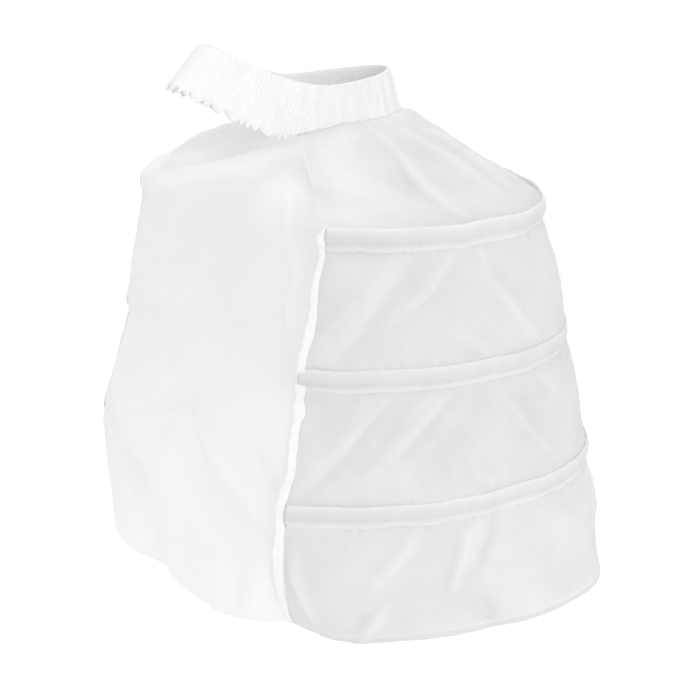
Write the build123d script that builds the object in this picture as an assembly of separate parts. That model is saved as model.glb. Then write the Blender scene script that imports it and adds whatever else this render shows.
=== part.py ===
"""Hooped bustle cage: a sheer panel over three C-shaped hoops, hung from a gathered elastic waistband."""
from build123d import *
from math import asin, cos, degrees, hypot, pi, radians, sin
import os

os.makedirs("parts", exist_ok=True)

# Millimetres. X runs across the wearer with +X at the wearer's left, +Y is behind, Z is up.
# The origin is the middle of the waist opening.

# Cloth and seams
cloth = 1.3
seam_gap = 0.3

# Waistband: a gathered sleeve on a flat elastic, leaning inward and lifted at its free front
waist_half_width = 55.0
waist_back = 162.0
waist_front = -176.0
junction_y = -49.0
upper_middle_y = -20.0
upper_lift_y = 20.0
band_height = 50.0
band_lean_back = 22.0
band_lean_front = 42.0
front_lift = 63.0
front_lift_loss = 11.0
back_rise = 6.0
elastic_thickness = 1.6
elastic_height = 42.0
sleeve_wall = 0.8
elastic_clearance = 0.4
pleat_depth = 2.0
pleat_pitch = 8.0

# Blank label, sewn inside the waistband
label_width = 34.0
label_drop = 16.0
label_thickness = 0.8
label_gap = 0.7
label_share = -0.27

# Heights of the hoops and of the hem
hoop_top_z = -110.0
hoop_middle_z = -263.0
hoop_bottom_z = -410.0
hem_z = -575.0

# Hoop and hem outlines: half width, centre, depth behind and before it, half width at the free ends
hoop_top_half_width = 276.0
hoop_top_centre = 85.0
hoop_top_back = 183.0
hoop_top_front = 265.0
hoop_top_end = 181.0
hoop_middle_half_width = 305.0
hoop_middle_centre = 110.0
hoop_middle_back = 190.0
hoop_middle_front = 319.0
hoop_middle_end = 175.0
hoop_bottom_half_width = 344.0
hoop_bottom_centre = 118.0
hoop_bottom_back = 204.0
hoop_bottom_front = 370.0
hoop_bottom_end = 193.0
hem_half_width = 372.0
hem_centre = 110.0
hem_back = 215.0
hem_front = 325.0
hem_end = 164.0

# Hoop bones, their end tips and their casings
bone_thickness = 1.6
bone_height = 8.0
tip_wall = 0.4
tip_clearance = 0.1
tip_length = 16.0
tip_pocket = 12.0
tip_reach = 2.0
casing_wall = 1.0
casing_clearance = 0.25
casing_height = 22.0
casing_round = 2.0
flange_height = 8.0
casing_setback = 5.5

# Side bindings
binding_width = 10.0
binding_thickness = 2.0
binding_standoff = 2.6

# Swell and soft folds of the panels
yoke_swell = 4.0
tier_swell = 5.0
hem_swell = 5.0
fold_depth = 3.0
inner_bow = 36.0

# Shapes that are not lengths
lower_left_power = 1.5
lower_right_power = 0.7
upper_left_power = 2
upper_right_power = 1.1
drape_power = 1.5
edge_power = 6
bow_power = 4
outline_samples = 360
panel_columns = 44
panel_rows = 6
inner_columns = 22
inner_rows = 3
fold_slant = 0.6
yoke_folds = 7
upper_folds = 6
middle_folds = 8
hem_folds = 9
normal_step_share = 0.002

# Sizes worked out from the ones above
casing_slot = bone_thickness + 2 * (tip_clearance + tip_wall + casing_clearance)
casing_slot_height = bone_height + 2 * (tip_clearance + tip_wall + casing_clearance)
casing_thickness = casing_slot + 2 * casing_wall
panel_inset = (casing_thickness - cloth) / 2
half_band = band_height / 2
half_casing = casing_height / 2
sleeve_half = elastic_thickness / 2 + elastic_clearance + sleeve_wall


class Outline:
    """A level curve from one free end round the back to the other, divided evenly by its length."""

    def __init__(self, height, half_width, centre, back, front, end_angle):
        self.height = height
        self.points = []
        self.runs = [0]
        for i in range(outline_samples + 1):
            angle = radians(end_angle) * (2 * i / outline_samples - 1)
            depth = back if cos(angle) > 0 else front
            self.points.append((half_width * sin(angle), centre + depth * cos(angle)))
        for a, b in zip(self.points, self.points[1:]):
            self.runs.append(self.runs[-1] + hypot(b[0] - a[0], b[1] - a[1]))

    def length(self):
        return self.runs[-1]

    def point(self, share):
        """The point at a share from -1, the right-hand free end of the wearer, to 1, the left-hand one."""
        run = (share + 1) / 2 * self.length()
        i = 1
        while i < outline_samples and self.runs[i] < run:
            i += 1
        part = (run - self.runs[i - 1]) / (self.runs[i] - self.runs[i - 1])
        a, b = self.points[i - 1], self.points[i]
        return Vector(a[0] + (b[0] - a[0]) * part, a[1] + (b[1] - a[1]) * part, self.height)

    def outward(self, share):
        """The level direction that points out of the curve."""
        low = max(share - normal_step_share, -1)
        high = min(share + normal_step_share, 1)
        along = self.point(high) - self.point(low)
        return Vector(-along.Y, along.X, 0).normalized()


def end_angle(half_width, end_half_width):
    """The angle from straight back at which a hoop has come in again to its free end."""
    return 180 - degrees(asin(end_half_width / half_width))


def panel_outline(height, half_width, centre, back, front, end_half_width):
    """The line of the cloth at a hoop, set in to the inner side of the casing."""
    angle = end_angle(half_width, end_half_width)
    inset = panel_inset
    return Outline(height, half_width - inset, centre, back - inset, front - inset, angle)


def mixed(a, b, share):
    return a + (b - a) * share


class BandEdge:
    """The lower or upper edge of the waistband, lifted where it runs free, sooner on the wearer's right."""

    def __init__(self, height, centre, back, front, lift, lift_y, left_power, right_power, rise):
        self.line = Outline(height, waist_half_width, centre, back - centre, centre - front, 180)
        self.back, self.front = back, front
        self.lift, self.lift_y = lift, lift_y
        self.left_power, self.right_power = left_power, right_power
        self.rise = rise

    def point(self, share):
        p = self.line.point(share)
        forward = max(self.lift_y - p.Y, 0) / (self.lift_y - self.front)
        behind = max(p.Y - self.lift_y, 0) / (self.back - self.lift_y)
        power = self.left_power if p.X > 0 else self.right_power
        return Vector(p.X, p.Y, p.Z + self.lift * forward ** power + self.rise * behind ** 2)

    def outward(self, share):
        return self.line.outward(share)


band_low = BandEdge(
    -half_band,
    junction_y,
    waist_back,
    waist_front,
    front_lift,
    junction_y,
    lower_left_power,
    lower_right_power,
    0,
)
band_high = BandEdge(
    half_band,
    upper_middle_y,
    waist_back - band_lean_back,
    waist_front + band_lean_front,
    front_lift - front_lift_loss,
    upper_lift_y,
    upper_left_power,
    upper_right_power,
    back_rise,
)
junction_run = next(
    band_low.line.runs[i] for i in range(outline_samples) if band_low.line.points[i][1] >= junction_y
)
junction_share = 1 - 2 * junction_run / band_low.line.length()


class YokeTop:
    """The back part of the waistband's lower edge, where the cloth is gathered in."""

    height = -half_band

    def point(self, share):
        return band_low.point(share * junction_share)

    def outward(self, share):
        return band_low.outward(share * junction_share)

    def length(self):
        return band_low.line.length() * junction_share


hoops = {
    "top": (hoop_top_z, hoop_top_half_width, hoop_top_centre, hoop_top_back, hoop_top_front, hoop_top_end),
    "middle": (
        hoop_middle_z,
        hoop_middle_half_width,
        hoop_middle_centre,
        hoop_middle_back,
        hoop_middle_front,
        hoop_middle_end,
    ),
    "bottom": (
        hoop_bottom_z,
        hoop_bottom_half_width,
        hoop_bottom_centre,
        hoop_bottom_back,
        hoop_bottom_front,
        hoop_bottom_end,
    ),
}
levels = [YokeTop()] + [panel_outline(*hoop) for hoop in hoops.values()]
levels.append(panel_outline(hem_z, hem_half_width, hem_centre, hem_back, hem_front, hem_end))


class Span:
    """The stretch of cloth between the seam under one outline and the seam over the next."""

    def __init__(self, upper, lower):
        self.upper = upper
        self.lower = lower
        self.top = upper.height - seam_gap
        self.top -= cloth / 2 if upper is levels[0] else half_casing + flange_height
        self.bottom = lower.height
        if lower is not levels[-1]:
            self.bottom += half_casing + seam_gap

    def part(self, height):
        return min(max((self.top - height) / (self.top - self.bottom), 0), 1)

    def place(self, share, height):
        """The point of the straight-hanging cloth at a height, and the level direction out of it."""
        part = self.part(height)
        point = mixed(self.upper.point(share), self.lower.point(share), part)
        outward = mixed(self.upper.outward(share), self.lower.outward(share), part).normalized()
        return Vector(point.X, point.Y, height), outward


spans = [Span(upper, lower) for upper, lower in zip(levels, levels[1:])]


def edge_place(height):
    """The left edge of the cage at a height, where the outer and inner panels meet."""
    span = next((span for span in spans if height >= span.bottom), spans[-1])
    return span.place(1, height)


def cloth_sides(rows):
    """The two faces of a sheet of cloth of even thickness through rows of points, as rows of points."""
    sides = []
    for side in (-cloth / 2, cloth / 2):
        grid = []
        for r, row in enumerate(rows):
            over = rows[max(r - 1, 0)]
            under = rows[min(r + 1, len(rows) - 1)]
            line = []
            for k, place in enumerate(row):
                across = row[min(k + 1, len(row) - 1)] - row[max(k - 1, 0)]
                line.append(place + across.cross(over[k] - under[k]).normalized() * side)
            grid.append(line)
        sides.append(grid)
    return sides


def soft_panel(rows):
    """A smooth sheet of cloth."""
    inside, outside = [Face.make_surface_from_array_of_points(grid) for grid in cloth_sides(rows)]
    rims = [Face.make_surface_from_curves(a, b) for a, b in zip(inside.edges(), outside.edges())]
    return Solid(Shell([inside, outside] + rims))


def ruled(a, b, c, d):
    """The face between the lines a to b and d to c."""
    return Face.make_surface_from_curves(Edge.make_line(a, b), Edge.make_line(d, c))


def creased_panel(rows):
    """A sheet of cloth that may bend sharply from row to row."""
    inside, outside = cloth_sides(rows)
    faces = []
    for grid in (inside, outside):
        for row, below in zip(grid, grid[1:]):
            for k in range(len(row) - 1):
                faces.append(ruled(row[k], row[k + 1], below[k + 1], below[k]))
    ring = list(zip(inside[0], outside[0]))
    ring += [(a[-1], b[-1]) for a, b in zip(inside[1:], outside[1:])]
    ring += list(zip(inside[-1], outside[-1]))[-2::-1]
    ring += [(a[0], b[0]) for a, b in zip(inside[-2::-1], outside[-2::-1])]
    for (a, b), (d, c) in zip(ring, ring[1:]):
        faces.append(ruled(a, b, c, d))
    return Solid(Shell(faces))


def tier(span, swell, folds):
    """The panel between two seams, swollen outward with soft slanting folds that die out at its edges."""
    rows = []
    reach = 1 - 2 * seam_gap / span.upper.length()
    for r in range(panel_rows + 1):
        down = r / panel_rows
        row = []
        for k in range(panel_columns + 1):
            share = reach * (2 * k / panel_columns - 1)
            place, outward = span.place(share, mixed(span.top, span.bottom, down))
            calm = sin(pi * down) * (1 - share ** edge_power)
            fold = fold_depth * sin(pi * (folds * share + fold_slant * down))
            row.append(place + outward * ((swell + fold) * calm))
        rows.append(row)
    return soft_panel(rows)


def inner_sheet():
    """The panel against the wearer, from the back of the waistband down over the hoop ends to the hem."""
    yoke, hem = spans[0], spans[-1]
    inset = 2 * cloth
    heights = [mixed(span.top, span.bottom, r / inner_rows) for span in spans for r in range(inner_rows + 1)]
    rows = []
    for height in heights:
        edge, outward = edge_place(height)
        fall = max(yoke.bottom - height, 0) / (yoke.bottom - hem.bottom)
        down = yoke.part(height)
        row = []
        for k in range(inner_columns + 1):
            share = 2 * k / inner_columns - 1
            bow = inner_bow * fall ** 2 * (1 - share ** bow_power)
            foot = Vector((edge.X - inset) * share, edge.Y - bow, height)
            if down < 1:
                last, outward = edge_place(yoke.bottom)
                foot = Vector((last.X - inset) * share, last.Y, height)
            gather = yoke.upper.point(share) - yoke.upper.outward(share) * inset
            ease = mixed(1 - (1 - down) ** drape_power, down, share ** 2)
            place = mixed(gather, foot, ease)
            row.append(Vector(place.X, place.Y, height))
        rows.append(row)
    return creased_panel(rows)


def skin(sections, closed):
    """Ruled faces between matching corners of neighbouring sections, sewn into one solid."""
    faces = []
    spans = len(sections) if closed else len(sections) - 1
    for i in range(spans):
        here = sections[i]
        there = sections[(i + 1) % len(sections)]
        for j in range(len(here)):
            k = (j + 1) % len(here)
            faces.append(ruled(here[j], here[k], there[k], there[j]))
    if not closed:
        faces += [ruled(*sections[0]), ruled(*sections[-1])]
    return Solid(Shell(faces))


def band_section(share, half_thickness, height, pleat_out, pleat_in):
    """The corners of the waistband's section: the outer face from the bottom up, then the inner one."""
    low = band_low.point(share)
    high = band_high.point(share)
    outward = mixed(band_low.outward(share), band_high.outward(share), 1 / 2).normalized()
    trim_share = (1 - height / band_height) / 2
    bottom = mixed(low, high, trim_share)
    top = mixed(high, low, trim_share)
    outer = outward * (half_thickness + pleat_out)
    inner = outward * -(half_thickness + pleat_in)
    return [bottom + outer, top + outer, top + inner, bottom + inner]


def waist_shares():
    """Places round the waistband, two to a pleat."""
    stations = 2 * int(band_low.line.length() / pleat_pitch)
    return [2 * i / stations - 1 for i in range(stations)]


def waistband_elastic():
    """The flat elastic inside the sleeve, a closed loop."""
    half = elastic_thickness / 2
    return skin([band_section(share, half, elastic_height, 0, 0) for share in waist_shares()], True)


def waistband_casing():
    """The gathered sleeve over the elastic, pleated in and out by turns and open along its lower seam."""
    room = elastic_thickness / 2 + elastic_clearance
    sections = []
    for i, share in enumerate(waist_shares()):
        turn = i % 2
        folds = (pleat_depth * turn, pleat_depth * (1 - turn))
        skin_corners = band_section(share, sleeve_half, band_height, *folds)
        slot = band_section(share, room, elastic_height + 2 * elastic_clearance, 0, 0)
        mouth = band_section(share, room, band_height, 0, 0)
        sections.append(skin_corners + [mouth[3], slot[2], slot[1], mouth[0]])
    return skin(sections, True)


def hoop_arcs(hoop, setback, offset=0, length=None):
    """The line of a hoop, drawn back from its free ends, or only a length of it from the left end."""
    height, half_width, centre, back, front, end_half_width = hoop
    right_angle = 90
    ends = end_angle(half_width, end_half_width) - right_angle
    pace = hypot(half_width * sin(radians(ends)), front * cos(radians(ends)))
    start = ends - degrees(setback / pace)
    middle = (0, centre, height)
    width = half_width + offset
    if length is not None:
        turn = degrees(length / pace)
        return Wire([EllipticalCenterArc(middle, width, front + offset, -start, arc_size=turn)])
    return Wire(
        [
            EllipticalCenterArc(middle, width, front + offset, -start, arc_size=start),
            EllipticalCenterArc(middle, width, back + offset, 0, arc_size=2 * right_angle),
            EllipticalCenterArc(middle, width, front + offset, 2 * right_angle, arc_size=start),
        ]
    )


def strip(hoop, thickness, height, setback, length=None):
    """A flat strip on edge along a hoop."""
    outer = hoop_arcs(hoop, setback, thickness / 2, length)
    inner = hoop_arcs(hoop, setback, -thickness / 2, length)
    ends = [Edge.make_line(outer @ 0, inner @ 0), Edge.make_line(outer @ 1, inner @ 1)]
    outline = make_face([*outer.edges(), *inner.edges(), *ends])
    return extrude(outline, amount=height / 2, both=True)


def hoop_casing(hoop):
    """The sewn channel that holds a hoop, standing out from the cloth on a flat flange."""
    channel = RectangleRounded(casing_thickness, casing_height, casing_round)
    channel -= Rectangle(casing_slot, casing_slot_height)
    flange = Rectangle(cloth, flange_height + casing_round)
    section = channel + Pos(panel_inset, (casing_round - casing_height - flange_height) / 2) * flange
    path = hoop_arcs(hoop, casing_setback)
    tangent = path % 0
    inside = Vector(-tangent.Y, tangent.X, 0)
    place = Plane(origin=path @ 0, x_dir=inside, z_dir=tangent)
    return sweep(place * section, path=path)


def hoop_bone(hoop):
    setback = casing_setback - tip_reach + tip_length - tip_pocket + tip_clearance
    return strip(hoop, bone_thickness, bone_height, setback)


def hoop_tip(hoop):
    """The cap on a hoop's left end, with a pocket for the bone."""
    thickness = bone_thickness + 2 * (tip_clearance + tip_wall)
    height = bone_height + 2 * (tip_clearance + tip_wall)
    start = casing_setback - tip_reach
    body = strip(hoop, thickness, height, start, tip_length)
    pocket_thickness = bone_thickness + 2 * tip_clearance
    pocket_height = bone_height + 2 * tip_clearance
    pocket = strip(hoop, pocket_thickness, pocket_height, start + tip_length - tip_pocket, tip_length)
    return body - pocket


def side_binding():
    """The folded tape down the left edge, from the top hoop to the hem, where the two panels meet."""
    heights = [spans[0].bottom] + [height for span in spans[1:] for height in (span.top, span.bottom)]
    sections = []
    for height in heights:
        edge, outward = edge_place(height)
        facing = (outward + Vector(0, -1, 0)).normalized()
        across = Vector(-facing.Y, facing.X, 0) * (binding_width / 2)
        near = edge + facing * binding_standoff
        far = near + facing * binding_thickness
        sections.append([near - across, near + across, far + across, far - across])
    return skin(sections, False)


def blank_label():
    """A plain woven tab that lies on the inner face of the waistband, behind the wearer's right hip."""
    low = band_low.point(label_share)
    high = band_high.point(label_share)
    outward = mixed(band_low.outward(label_share), band_high.outward(label_share), 1 / 2).normalized()
    level = Vector(-outward.Y, outward.X, 0)
    facing = (high - low).cross(level).normalized()
    foot = mixed(low, high, 1 / 4) + facing * (sleeve_half + pleat_depth + label_gap)
    tab = Pos(0, label_drop / 2) * Rectangle(label_width, label_drop)
    return extrude(Plane(origin=foot, x_dir=level, z_dir=facing) * tab, amount=label_thickness)


pieces = {
    "waistband_casing": waistband_casing(),
    "waistband_elastic": waistband_elastic(),
    "blank_label": blank_label(),
    "inner_panel": inner_sheet(),
}

tiers = {
    "yoke_panel": (yoke_swell, yoke_folds),
    "upper_tier_panel": (tier_swell, upper_folds),
    "middle_tier_panel": (tier_swell, middle_folds),
    "hem_tier_panel": (hem_swell, hem_folds),
}
for (name, (swell, folds)), span in zip(tiers.items(), spans):
    pieces[name] = tier(span, swell, folds)

for place, hoop in hoops.items():
    pieces[f"hoop_casing_{place}"] = hoop_casing(hoop)
    pieces[f"hoop_{place}"] = hoop_bone(hoop)
    tip = hoop_tip(hoop)
    pieces[f"hoop_tip_{place}_left"] = tip
    pieces[f"hoop_tip_{place}_right"] = mirror(tip, about=Plane.YZ)

binding = side_binding()
pieces["edge_binding_left"] = binding
pieces["edge_binding_right"] = mirror(binding, about=Plane.YZ)

for name, piece in pieces.items():
    export_step(piece, f"parts/{name}.step")
    print(name, round(piece.volume))
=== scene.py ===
# %% [markdown]
# # A hooped bustle cage in sheer white nylon
# A bustle cage holds a skirt out behind the wearer. Three C-shaped hoops run in sewn casings round an
# outer panel of thin nylon, and a second, flatter panel closes the cage against the wearer's legs.
# Everything hangs from a gathered elastic waistband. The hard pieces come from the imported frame. The
# cloth is made here, because folds, gathers and stitching are what make thin white cloth readable.

import math

import bpy
import numpy as np
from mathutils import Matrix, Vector


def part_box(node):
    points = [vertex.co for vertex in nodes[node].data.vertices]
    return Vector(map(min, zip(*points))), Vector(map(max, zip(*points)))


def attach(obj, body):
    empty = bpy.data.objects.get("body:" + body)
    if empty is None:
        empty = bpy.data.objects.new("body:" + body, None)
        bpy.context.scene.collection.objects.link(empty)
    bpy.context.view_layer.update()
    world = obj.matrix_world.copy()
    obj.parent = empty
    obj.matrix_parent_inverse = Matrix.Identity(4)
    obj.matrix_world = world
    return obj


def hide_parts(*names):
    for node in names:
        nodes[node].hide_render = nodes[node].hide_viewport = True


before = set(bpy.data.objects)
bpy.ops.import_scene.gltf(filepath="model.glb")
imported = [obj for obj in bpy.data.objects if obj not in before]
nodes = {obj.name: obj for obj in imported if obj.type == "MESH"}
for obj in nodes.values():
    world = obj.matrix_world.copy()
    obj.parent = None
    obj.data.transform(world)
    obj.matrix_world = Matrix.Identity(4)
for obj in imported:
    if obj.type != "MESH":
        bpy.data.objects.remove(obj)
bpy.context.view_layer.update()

# %% [markdown]
# ## Camera
# The cage is seen from the wearer's front left and from a little above. The place was worked out from the
# hoops: each is level, so the way its near part curves on the picture tells how high the camera stands.

# %% Camera
camera = bpy.data.objects.new("camera", bpy.data.cameras.new("camera"))
camera.data.lens = 58.2
camera.location = (1.031, -0.852, 0.216)
camera_dip = math.radians(21.4)
camera_bearing = math.radians(48.3)
camera.rotation_euler = (math.pi / 2 - camera_dip, 0, camera_bearing)
bpy.context.collection.objects.link(camera)
bpy.context.scene.camera = camera
bpy.context.scene.view_settings.view_transform = "Standard"
print("camera", tuple(round(x, 3) for x in camera.location))

# %% [markdown]
# ## Wiring a material
# A material is a small graph of nodes. Writing each node and link by hand hides the idea, so a wire here
# is a plain value: adding or multiplying wires adds the Math nodes that do it, and one method adds any
# other node.


# %% Wires
class Wire:
    """What comes out of one socket of a material. Sums and products of wires become Math nodes."""

    def __init__(self, socket):
        self.socket = socket
        self.tree = socket.id_data

    @staticmethod
    def add(tree, kind, settings=None, out=0, **inputs):
        """Adds a node, sets it up, fills its inputs with values or wires, and gives one output's wire."""
        node = tree.nodes.new(kind)
        for name, value in (settings or {}).items():
            setattr(node, name, value)
        for name, value in inputs.items():
            place = int(name[1:]) if name[1:].isdigit() else name.replace("_", " ")
            if isinstance(value, Wire):
                tree.links.new(value.socket, node.inputs[place])
            else:
                node.inputs[place].default_value = value
        return Wire(node.outputs[out]) if node.outputs else node

    def maths(self, operation, other):
        """A Math node on this wire and another wire or a number."""
        return Wire.add(self.tree, "ShaderNodeMath", {"operation": operation}, n0=self, n1=other)

    def __add__(self, other):
        return self.maths("ADD", other)

    def __mul__(self, other):
        return self.maths("MULTIPLY", other)


print("wires ready")

# %% [markdown]
# ## Studio
# White cloth on white shows only through its shading, so the light has a direction: a big soft lamp from
# the left of the camera, others from the right, above and behind, and an even grey from all round. The
# floor is a lit paper sweep well below the hem, as when the cage hangs on a stand, so its shadow stays
# faint.

# %% Studio world
world = bpy.data.worlds.new("studio")
bpy.context.scene.world = world
world.use_nodes = True
tree = world.node_tree
tree.nodes.clear()
rays = tree.nodes.new("ShaderNodeLightPath").outputs
seen = Wire(rays["Is Camera Ray"]) + Wire(rays["Is Glossy Ray"]) + Wire(rays["Is Transmission Ray"])
room_light = Wire.add(tree, "ShaderNodeBackground", Color=(1, 1, 1, 1), Strength=0.61)
backdrop = Wire.add(tree, "ShaderNodeBackground", Color=(1, 1, 1, 1), Strength=1.0)
Wire.add(
    tree,
    "ShaderNodeOutputWorld",
    Surface=Wire.add(tree, "ShaderNodeMixShader", n0=seen, n1=room_light, n2=backdrop),
)


def lamp(name, place, aim, size, power):
    """A square soft lamp that faces a point."""
    light = bpy.data.lights.new(name, "AREA")
    light.size = size
    light.energy = power
    piece = bpy.data.objects.new(name, light)
    piece.location = place
    piece.rotation_euler = (Vector(aim) - Vector(place)).to_track_quat("-Z", "Y").to_euler()
    bpy.context.collection.objects.link(piece)
    return piece


cage_middle = (0, 0.05, -0.25)
lamps = [
    lamp("key_lamp", (-1.2, -2.2, 1.0), cage_middle, 2.6, 17),
    lamp("fill_lamp", (2.4, -0.3, 0.4), cage_middle, 1.6, 21),
    lamp("top_lamp", (0.2, 0.0, 2.2), cage_middle, 2.0, 18),
    lamp("back_lamp", (-1.6, 1.9, 0.7), cage_middle, 2.0, 16),
]
print("lamps", [piece.name for piece in lamps])

# %% Floor
waist_above_floor = 1.15
floor_half = 4.0
floor_fades = (1.4, 3.2)
floor_height = -waist_above_floor
floor_mesh = bpy.data.meshes.new("floor")
corners = [(x * floor_half, y * floor_half, 0) for x, y in ((-1, -1), (1, -1), (1, 1), (-1, 1))]
floor_mesh.from_pydata(corners, [], [(0, 1, 2, 3)])
floor = bpy.data.objects.new("floor", floor_mesh)
floor.location.z = floor_height
bpy.context.collection.objects.link(floor)
paper = bpy.data.materials.new("floor_paper")
paper.use_nodes = True
floor_skin = paper.node_tree.nodes["Principled BSDF"].inputs
floor_skin["Base Color"].default_value = (0.96, 0.96, 0.96, 1)
floor_skin["Roughness"].default_value = 0.9
floor_skin["Emission Color"].default_value = (1, 1, 1, 1)
floor_skin["Emission Strength"].default_value = 0.24
tree = paper.node_tree
spot = Wire.add(tree, "ShaderNodeTexCoord", out="Object")
away = Wire.add(tree, "ShaderNodeVectorMath", {"operation": "LENGTH"}, "Value", n0=spot)
near, far = floor_fades
smooth = {"interpolation_type": "SMOOTHSTEP"}
fade = Wire.add(tree, "ShaderNodeMapRange", smooth, n0=away, n1=near, n2=far, n3=1, n4=0)
tree.links.new(fade.socket, floor_skin["Alpha"])
floor_mesh.materials.append(paper)
print("floor at", round(floor_height, 3))

# %% [markdown]
# ## The loop of the waistband
# All the cloth starts at the waistband, a long narrow loop that leans inward. Its back half carries the
# cage and is level. Its front half is free and lifts. One closed curve is drawn for its lower edge and
# another for its upper edge, with their points evenly spaced, so that pleats laid on them keep one pitch.


# %% Lines with even spacing
def evenly(points, count):
    """The same line with its points evenly spaced."""
    run = np.concatenate([[0], np.cumsum(np.linalg.norm(np.diff(points, axis=0), axis=1))])
    return np.stack([np.interp(np.linspace(0, run[-1], count), run, c) for c in points.T], axis=1)


def length_of(points):
    """The length of a line."""
    return float(np.linalg.norm(np.diff(points, axis=0), axis=1).sum())


print("line helpers ready")

# %% Loop of the waistband
band_half_width = 0.055
band_height = 0.05
band_columns = 1680


def band_edge(height, middle, back, front, lift, lift_y, left_power, right_power, rise):
    """A closed loop that lifts toward the front, as evenly spaced points, and how far forward each is."""
    turn = np.linspace(-math.pi, math.pi, 2881)
    depth = np.where(np.cos(turn) > 0, back - middle, middle - front)
    x = band_half_width * np.sin(turn)
    y = middle + depth * np.cos(turn)
    loop = evenly(np.stack([x, y, turn * 0 + height], axis=1), band_columns + 1)[:-1]
    forward = np.maximum(lift_y - loop[:, 1], 0) / (lift_y - front)
    behind = np.maximum(loop[:, 1] - lift_y, 0) / (back - lift_y)
    power = np.where(loop[:, 0] > 0, left_power, right_power)
    loop[:, 2] += lift * forward ** power + rise * behind ** 2
    return loop, forward


junction_y = -0.049
band_low, forward_low = band_edge(
    height=-band_height / 2,
    middle=junction_y,
    back=0.162,
    front=-0.176,
    lift=0.063,
    lift_y=junction_y,
    left_power=1.5,
    right_power=0.7,
    rise=0,
)
band_high = band_edge(
    height=band_height / 2,
    middle=-0.020,
    back=0.140,
    front=-0.134,
    lift=0.052,
    lift_y=0.020,
    left_power=2.0,
    right_power=1.1,
    rise=0.006,
)[0]
band_loop = length_of(np.concatenate([band_low, band_low[:1]]))
print("waistband loop", round(band_loop, 3))

# %% [markdown]
# ## Reading the seams from the frame
# Every seam of the outer panel is a level line round the cage, alike on both sides. The corners of a
# solid near that height scatter along it, and a short cosine series through them gives one smooth line.

# %% Seam lines
seam_points = 361
seam_waves = 16
seam_depth = 0.0008


def seam_line(name, top):
    """The top or bottom edge of a panel, from the wearer's right round the back to the left."""
    corners = np.array([v.co[:] for v in nodes[name].data.vertices])
    height = corners[:, 2].max() if top else corners[:, 2].min()
    corners = corners[abs(corners[:, 2] - height) < seam_depth]
    middle = (corners[:, 1].max() + corners[:, 1].min()) / 2
    turn = np.arctan2(corners[:, 0], corners[:, 1] - middle)
    reach = np.hypot(corners[:, 0], corners[:, 1] - middle)
    series = np.cos(np.outer(turn, np.arange(seam_waves)))
    weights = np.linalg.lstsq(series, reach, rcond=None)[0]
    turns = np.linspace(-abs(turn).max(), abs(turn).max(), 1441)
    reaches = np.cos(np.outer(turns, np.arange(seam_waves))) @ weights
    x = reaches * np.sin(turns)
    y = middle + reaches * np.cos(turns)
    return evenly(np.stack([x, y, turns * 0 + height], axis=1), seam_points)


tier_names = ["yoke_panel", "upper_tier_panel", "middle_tier_panel", "hem_tier_panel"]
hoop_places = ["top", "middle", "bottom"]
seams = [evenly(band_low[band_low[:, 1] >= junction_y], seam_points)]
seams += [seam_line(name, True) for name in tier_names[1:]]
seams.append(seam_line("hem_tier_panel", False))
print("seam lengths", [round(length_of(line), 3) for line in seams])


# %% Level directions out of a line
def outward(line):
    """The level direction out of the cage at each point of a line."""
    along = np.gradient(line, axis=0)
    out = np.stack([-along[:, 1], along[:, 0], along[:, 0] * 0], axis=1)
    return out / np.linalg.norm(out, axis=1)[:, None]


hoop_heights = {p: float(sum(b[2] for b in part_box(f"hoop_{p}")) / 2) for p in hoop_places}
print("hoop heights", {p: round(z, 3) for p, z in hoop_heights.items()})

# %% [markdown]
# ## Cloth as a grid
# A panel of cloth is a grid of points, so a fold is a change of those points along the cloth's own
# normal. A fold is laid like a stroke of a brush: a path across the panel, a width, a height, and a steep
# side. Each point also carries a number from 0 to 1 that the finish reads later: painted highlight on fold
# ridges, painted shade in their valleys, and whiter colour where the cloth lies double.


# %% Grids and the distances over them
def cloth_grid(name, points, closed=False):
    """A mesh of four-sided faces through rows of points; closed joins the last column to the first."""
    rows, columns = points.shape[:2]
    spans = columns if closed else columns - 1
    faces = []
    for r in range(rows - 1):
        for c in range(spans):
            d = (c + 1) % columns
            faces.append((r * columns + c, r * columns + d, (r + 1) * columns + d, (r + 1) * columns + c))
    mesh = bpy.data.meshes.new(name)
    mesh.from_pydata(points.reshape(-1, 3).tolist(), [], faces)
    mesh.polygons.foreach_set("use_smooth", [True] * len(faces))
    piece = bpy.data.objects.new(name, mesh)
    bpy.context.collection.objects.link(piece)
    return piece


def mark_layers_and_painted_light(piece, layers_and_painted_light):
    """Marks each point of a piece with how far doubled cloth and painted light and shade change its
    colour, from 0 to 1.
    """
    piece.data.attributes.new("layers_and_painted_light", "FLOAT", "POINT").data.foreach_set("value", layers_and_painted_light)
    return piece


def normals(points):
    """The direction off the outer side of a grid whose columns run left and whose rows run down."""
    across = np.gradient(points, axis=1)
    down = np.gradient(points, axis=0)
    off = np.cross(across, down)
    return off / np.maximum(np.linalg.norm(off, axis=2), 1e-9)[..., None]


def cloth_chart(points):
    """Distances over a grid in millimetres: across each row from its middle, and down each column."""
    across = np.linalg.norm(np.diff(points, axis=1), axis=2) * 1000
    down = np.linalg.norm(np.diff(points, axis=0), axis=2) * 1000
    a = np.concatenate([np.zeros((len(points), 1)), np.cumsum(across, axis=1)], axis=1)
    b = np.concatenate([np.zeros((1, points.shape[1])), np.cumsum(down, axis=0)])
    return a - a[:, a.shape[1] // 2][:, None], b


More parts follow.
